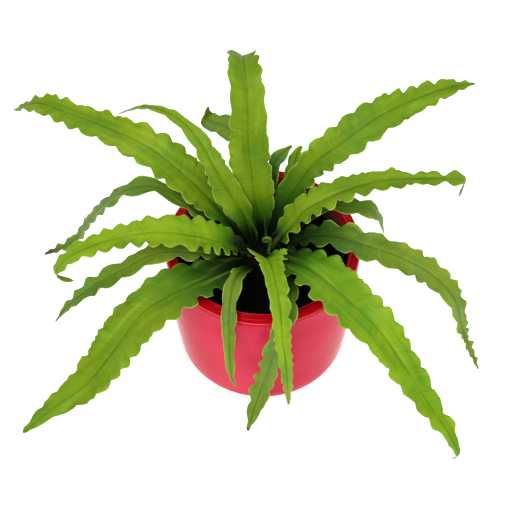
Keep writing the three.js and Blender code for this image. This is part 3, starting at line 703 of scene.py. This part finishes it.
    def faces(self):
        n = len(self.u)
        faces = []
        for r in range(self.rows):
            a = r * 2 * n
            b = a + 2 * n
            for k in range(n - 1):
                faces.append((a + k, a + k + 1, b + k + 1, b + k))
                faces.append((a + n + k, b + n + k, b + n + k + 1, a + n + k + 1))
            faces.append((a, b, b + n, a + n))
            faces.append((a + n - 1, a + 2 * n - 1, b + 2 * n - 1, b + n - 1))
        end = self.rows * 2 * n
        for k in range(n - 1):
            faces.append((k, k + n, k + n + 1, k + 1))
            faces.append((end + k, end + k + 1, end + k + n + 1, end + k + n))
        return faces


def frond_piece(frond, materials):
    kind, tone, dead, shade = frond["look"]
    blade = Blade(frond)
    lift, bow, slide = blade.ruffles()
    upper, lower = blade.skins(lift, bow, slide)
    grid = np.stack([upper, lower], 1).reshape(-1, 3) * MM
    far = np.linalg.norm(upper - np.array([0.0, 0.0, SOIL + 8]), axis=-1)
    ones = np.ones_like(lift)
    brown = np.zeros(blade.rows + 1)
    if dead > 0:
        brown = smoothstep((blade.s - (1 - dead * 1.6)) / (dead * 1.2))

    def spread(values):
        return np.repeat(values[:, None, :], 2, axis=1).reshape(-1)

    attributes = {
        # painted shade: 0 within DARK_REACH of the heart, rising to 1 at the frond's shade distance
        "light": spread(smoothstep((far - DARK_REACH) / (shade - DARK_REACH))),
        "across": spread(blade.half * blade.u),
        "along": spread((blade.s * blade.length)[:, None] * ones),
        "rim": spread((1 - blade.edge) * blade.half),
        "top": np.stack([ones, 0 * ones], 1).reshape(-1),
        "tone": spread(tone * ones),
        "dry": spread(brown[:, None] * ones),
        "crest": spread(np.clip(lift / CREST_LIFT, -1.0, 1.0)),
    }
    piece = make_object("leaf_" + frond["name"][6:], grid, blade.faces(), materials[kind], attributes)
    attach(piece, ROOT)
    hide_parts(frond["name"])


# ---- pot
def turned(name, profile, sides, material, shift):
    """A closed solid of revolution. `shift(angle, radius, height)` moves a point out and up."""
    points = [(0.0, 0.0, profile[0][1])]
    for radius, height in profile[1:-1]:
        for k in range(sides):
            angle = k / sides * TURN
            dr, dz = shift(angle, radius, height)
            points.append(polar(angle, radius + dr, height + dz))
    points.append((0.0, 0.0, profile[-1][1]))
    top = len(points) - 1
    rings = len(profile) - 2
    faces = []
    for k in range(sides):
        m = (k + 1) % sides
        faces.append((0, 1 + m, 1 + k))
        for i in range(rings - 1):
            a = 1 + i * sides
            faces.append((a + k, a + m, a + sides + m, a + sides + k))
        c = 1 + (rings - 1) * sides
        faces.append((c + k, c + m, top))
    return make_object(name, [Vector(p) * MM for p in points], faces, material)


def rounded(profile, steps=6):
    """The profile with smooth curves between its points; one with a third value stays a corner."""
    def point(i):
        return np.array(profile[i][:2], float)

    out = []
    for i in range(len(profile) - 1):
        b, c = point(i), point(i + 1)
        a = b if i == 0 or len(profile[i]) > 2 else point(i - 1)
        d = c if i == len(profile) - 2 or len(profile[i + 1]) > 2 else point(i + 2)
        reach = 2 * np.linalg.norm(c - b)
        m = (c - a) / 2 * min(1.0, reach / max(1e-6, np.linalg.norm(c - a)))
        n = (d - b) / 2 * min(1.0, reach / max(1e-6, np.linalg.norm(d - b)))
        out += [tuple(hermite(b, c, m, n, j / steps)) for j in range(steps)]
    out.append(tuple(profile[-1][:2]))
    return out


def mark_sharp(piece, degrees):
    """Smooth shading with hard edges where two faces meet at more than the angle."""
    bm = bmesh.new()
    bm.from_mesh(piece.data)
    limit = math.radians(degrees)
    for line in bm.edges:
        line.smooth = not (len(line.link_faces) == 2 and line.calc_face_angle(0.0) > limit)
    bm.to_mesh(piece.data)
    bm.free()
    piece.data.polygons.foreach_set("use_smooth", [True] * len(piece.data.polygons))


def drill(piece, place):
    """A drain hole through the floor."""
    bpy.ops.mesh.primitive_cylinder_add(vertices=40, radius=DRAIN_RADIUS * MM, depth=0.03, location=place)
    cutter = bpy.context.object
    cut = piece.modifiers.new("drain", "BOOLEAN")
    cut.object = cutter
    cut.operation = "DIFFERENCE"
    cut.solver = "EXACT"
    bpy.context.view_layer.objects.active = piece
    bpy.ops.object.modifier_apply(modifier="drain")
    spare = cutter.data
    bpy.data.objects.remove(cutter)
    bpy.data.meshes.remove(spare)


def pot_piece(material):
    inner = RIM - LIP
    profile = [
        (0, 0, 1), (63.0, 0, 1), (65.7, 1.1), (67.3, 4.0), (68.5, 12), (71.0, 34), (73.1, 58), (74.4, 82),
        (74.7, 104), (RIM, 111.5), (74.5, 115.2), (72.8, 117.4), (RIM - LIP / 2, HEIGHT),
        (inner + 1.8, 117.2), (inner + 0.2, 114.4), (66.2, 107), (67, 96), (65.6, 70), (62, 40),
        (57, 14), (52, FLOOR, 1), (0, FLOOR, 1),
    ]

    def uneven(angle, radius, height):
        if height < 1.0 or radius < 50:
            return 0.0, 0.0
        slow = 0.10 * math.sin(3 * angle + height * 0.03) + 0.06 * math.sin(7 * angle - height * 0.06)
        return slow, 0.05 * math.sin(5 * angle)

    pot = turned("glazed_pot", rounded(profile), 192, material, uneven)
    for bearing in (90, 210, 330):
        drill(pot, polar(math.radians(bearing), DRAIN_REACH * MM, 0.004))
    mark_sharp(pot, 50)
    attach(pot, ROOT)
    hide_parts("pot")


# ---- soil
def lump(rng, centre, size, squash=0.7):
    """A small angular crumb as points and triangles: a shaken octahedron cut once more."""
    base = np.array([(1, 0, 0), (-1, 0, 0), (0, 1, 0), (0, -1, 0), (0, 0, 1), (0, 0, -1)], float)
    faces = [(0, 2, 4), (2, 1, 4), (1, 3, 4), (3, 0, 4), (2, 0, 5), (1, 2, 5), (3, 1, 5), (0, 3, 5)]
    points = list(base)
    middles = {}
    split = []
    for a, b, c in faces:
        mids = []
        for p, q in ((a, b), (b, c), (c, a)):
            key = (min(p, q), max(p, q))
            if key not in middles:
                middle = points[p] + points[q]
                points.append(middle / np.linalg.norm(middle))
                middles[key] = len(points) - 1
            mids.append(middles[key])
        x, y, z = mids
        split += [(a, x, z), (b, y, x), (c, z, y), (x, y, z)]
    points = np.array(points)
    points = points * rng.uniform(0.72, 1.2, (len(points), 1))
    points = points * np.array([1.0, rng.uniform(0.6, 1.0), squash]) * size
    turn = rng.uniform(0, TURN)
    c, s = math.cos(turn), math.sin(turn)
    points = points @ np.array([[c, s, 0], [-s, c, 0], [0, 0, 1]])
    return points + centre, split


def soil_height(angle, radius):
    """The height of the soil's top."""
    heave = 1.2 * math.sin(angle * 5 + radius * 0.3) + 0.8 * math.sin(angle * 9 - radius * 0.7)
    fine = 0.35 * math.sin(angle * 23 + radius * 1.7) + 0.3 * math.sin(angle * 37 - radius * 2.3 + 1.0)
    bank = 1.0 - (radius / SOIL_REACH) ** 4 * 3.0
    return SOIL + bank + (heave + fine) * min(1.0, (67.5 - radius) / 8.0 + 0.35)


def soil_piece(material):
    profile = [(0, FLOOR + 0.3), (51.7, FLOOR + 0.3), (56.6, 14.2), (61.6, 40.2), (65.2, 70),
               (66.5, SOIL - 4)]
    rings = [66.4, 65.6, 64.5, 63, 61.5, *range(60, 20, -2), 20, 17, 14, 11, 8, 5, 2.5]
    profile += [(r, SOIL) for r in rings] + [(0, SOIL)]
    rng = random.Random(4)
    grain = {}

    def heave(angle, radius, height):
        if height < SOIL - 0.5:
            return 0.0, 0.0
        key = (round(angle, 4), radius)
        if key not in grain:
            grain[key] = rng.uniform(-0.35, 0.35)
        return 0.0, soil_height(angle, radius) - SOIL + grain[key]

    soil = turned("soil_body", profile, 150, material, heave)
    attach(soil, ROOT)
    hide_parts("soil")

    rng = np.random.default_rng(12)
    crumbs = []
    for _ in range(760):
        radius = SOIL_REACH * math.sqrt(rng.uniform(0.05, 0.98))
        angle = rng.uniform(0, TURN)
        size = rng.choice([0.7, 1.0, 1.4, 2.0], p=[0.35, 0.35, 0.2, 0.1]) * rng.uniform(0.8, 1.2)
        if radius + size <= SOIL_REACH:
            crumbs.append(lump(rng, polar(angle, radius, soil_height(angle, radius) + size * 0.25), size))
    grains = scatter_object("soil_crumbs", crumbs, material)
    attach(grains, ROOT)


# ---- crown and young frond
def strip(path, widths, thick, lean=(0.0, 0.0, 1.0)):
    """A thin closed tapering strip along a path, with a flat oval section of six sides."""
    path = np.asarray(path, float)
    ahead = unit(np.gradient(path, axis=0))
    side = unit(np.cross(ahead, np.asarray(lean, float)) + 1e-6)
    up = np.cross(side, ahead)
    sides = 6
    points = []
    for p, w, a, b in zip(path, widths, side, up):
        for k in range(sides):
            angle = k / sides * TURN
            points.append(p + a * w * math.cos(angle) + b * thick * math.sin(angle))
    return np.array(points), tube_faces(len(path), sides)


def scale_strip(rng):
    """A papery scale on the rhizome."""
    angle = rng.uniform(0, TURN)
    radius = rng.uniform(4, 20.5)
    tall = rng.uniform(3.0, 8.0)
    base = polar(angle, radius, 100.5 if radius < 17 else 98.0)
    out = rng.uniform(-0.1, 0.8)
    bend = rng.uniform(-0.5, 0.5)
    path = []
    for t in np.linspace(0, 1, 6):
        turn = angle + bend * t
        path.append(base + np.array([math.cos(turn) * out * tall * t, math.sin(turn) * out * tall * t,
                                     tall * (t - 0.35 * out * t * t)]))
    widths = rng.uniform(0.35, 0.75) * np.array([0.8, 1.0, 0.9, 0.65, 0.35, 0.05])
    return strip(path, widths, 0.14, polar(angle, 1.0, 0.3))


def root_strip(rng):
    """A wiry black root that runs from the crown into the soil."""
    angle = rng.uniform(0, TURN)
    radius = rng.uniform(15, 19)
    turn = rng.uniform(-0.9, 0.9)
    far = rng.uniform(8, 22)
    path = []
    for t in np.linspace(0, 1, 12):
        a = angle + turn * t * 0.5 + 0.06 * math.sin(9 * t + angle)
        r = radius + far * t
        ground = soil_height(a, min(r, 60)) + 0.35
        path.append(polar(a, r, mix(100.0, ground, min(1.0, t * 3.2)) - 0.9 * t ** 6))
    return strip(path, np.linspace(0.5, 0.22, 12), 0.4)


def stub_strip(rng):
    """The stub of an old frond at the side of the crown."""
    angle = rng.uniform(0, TURN)
    radius = rng.uniform(16.5, 20.5)
    base = polar(angle, radius, 97.0)
    tall = rng.uniform(5, 9)
    way = np.array([math.cos(angle) * 0.35 * tall, math.sin(angle) * 0.35 * tall, tall])
    path = [base + way * t for t in np.linspace(0, 1, 5)]
    return strip(path, [1.8, 1.6, 1.4, 1.3, 0.9], 0.8, polar(angle, 1.0, 0.0))


def crown_piece(rhizome, scale):
    rng = random.Random(9)
    bumps = [(rng.uniform(0, TURN), rng.uniform(2, 18), rng.uniform(0.4, 1.4)) for _ in range(60)]

    def knobs(angle, radius, height):
        if height < SOIL - 8:
            return 0.0, 0.0
        x, y = radius * math.cos(angle), radius * math.sin(angle)
        lift = 0.0
        for a, r, h in bumps:
            far = (x - r * math.cos(a)) ** 2 + (y - r * math.sin(a)) ** 2
            lift += h * math.exp(-far / 6.0)
        return 0.5 * math.sin(angle * 7 + height), lift * 0.8

    profile = [(0, 82), (9, 83), (15, 90), (20, 96), (20, 97.5), (20, 99), (18.6, 101), (17, 102.5),
               (14.5, 103.4), (12, 104), (9.5, 103.6), (7, 103), (4.5, 102.6), (2, 102.2), (0, 102)]
    crown = turned("rhizome", profile, 72, rhizome, knobs)
    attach(crown, ROOT)
    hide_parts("crown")

    rng = np.random.default_rng(21)
    scales = scatter_object("rhizome_scales", [scale_strip(rng) for _ in range(300)], scale, smooth=True)
    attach(scales, ROOT)

    parts = [root_strip(rng) for _ in range(46)] + [stub_strip(rng) for _ in range(13)]
    roots = scatter_object("roots_and_stubs", parts, scale, smooth=True)
    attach(roots, ROOT)


def coil_piece(material, scale):
    """The young frond at the middle, still rolled up, with a few brown scales."""
    base = np.array([0.5, -1.5, 98.5])
    rise, lean, coil, turns, thick, thin = 23.0, 0.09, 3.4, 1.35, 1.6, 0.75
    rows, sides = 150, 20
    spine = []
    for r in range(rows + 1):
        s = r / rows
        up = min(1.0, s / 0.4)
        turn = max(0.0, (s - 0.4) / 0.6)
        angle = turn * turns * TURN
        wide = coil * (1 - 0.78 * turn)
        spine.append((up * rise * lean - coil + wide * math.cos(angle), up * rise + wide * math.sin(angle),
                      mix(thick, thin, float(smoothstep(s)))))
    points = []
    for r, (out, z, radius) in enumerate(spine):
        before, after = spine[max(0, r - 1)], spine[min(rows, r + 1)]
        dx, dz = after[0] - before[0], after[1] - before[1]
        run = math.hypot(dx, dz)
        dx, dz = dx / run, dz / run
        knob = 1.0 + 0.07 * math.sin(r * 0.9)
        for k in range(sides):
            angle = k / sides * TURN
            flat = radius * knob * (1.0 - 0.12 * math.cos(angle) ** 8)
            a, b = flat * math.cos(angle), flat * math.sin(angle)
            points.append((base[0] + coil + out + a * dz, base[1] + b, base[2] + z - a * dx))
    made = make_object("young_coil", np.array(points) * MM, tube_faces(rows + 1, sides), material)
    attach(made, ROOT)
    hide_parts("crozier")

    rng = np.random.default_rng(33)
    parts = []
    for _ in range(60):
        out, z, radius = spine[int(rng.uniform(4, rows * 0.62))]
        angle = rng.uniform(0, TURN)
        start = np.array([base[0] + coil + out + radius * 0.9 * math.cos(angle),
                          base[1] + radius * 0.9 * math.sin(angle), base[2] + z])
        way = polar(angle, 0.5, 0.8)
        tall = rng.uniform(1.2, 2.6)
        path = [start + way * tall * t for t in np.linspace(0, 1, 4)]
        parts.append(strip(path, [0.26, 0.3, 0.18, 0.03], 0.06, polar(angle, 1.0, 0.2)))
    hairs = scatter_object("coil_scales", parts, scale, smooth=True)
    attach(hairs, ROOT)


# ---- assembly
make_camera()
make_studio()

# Each kind: shaded base green, full green, warm and cool patch greens. The dark kind is partly the duller,
# bluer green of older fronds and partly painted shade for fronds that lie in shade under or behind others.
LEAVES = {kind: leaf_material("frond_" + kind, *greens) for kind, greens in {
    "green": [(54, 100, 0), (98, 134, 8), (128, 152, 10), (76, 124, 22)],
    "bright": [(66, 118, 0), (101, 142, 5), (134, 164, 12), (82, 138, 20)],
    "dark": [(42, 78, 4), (92, 124, 24), (122, 142, 36), (78, 128, 66)],
}.items()}
for plan in FRONDS:
    frond_piece(plan, LEAVES)

bark = bark_material("rhizome", (3, 3, 2), (12, 9, 6))
scale_brown = bark_material("scale_brown", (4, 3, 2), (28, 19, 12))
pot_piece(glaze_material())
soil_piece(soil_material())
crown_piece(bark, scale_brown)
coil_piece(coil_material(), scale_brown)
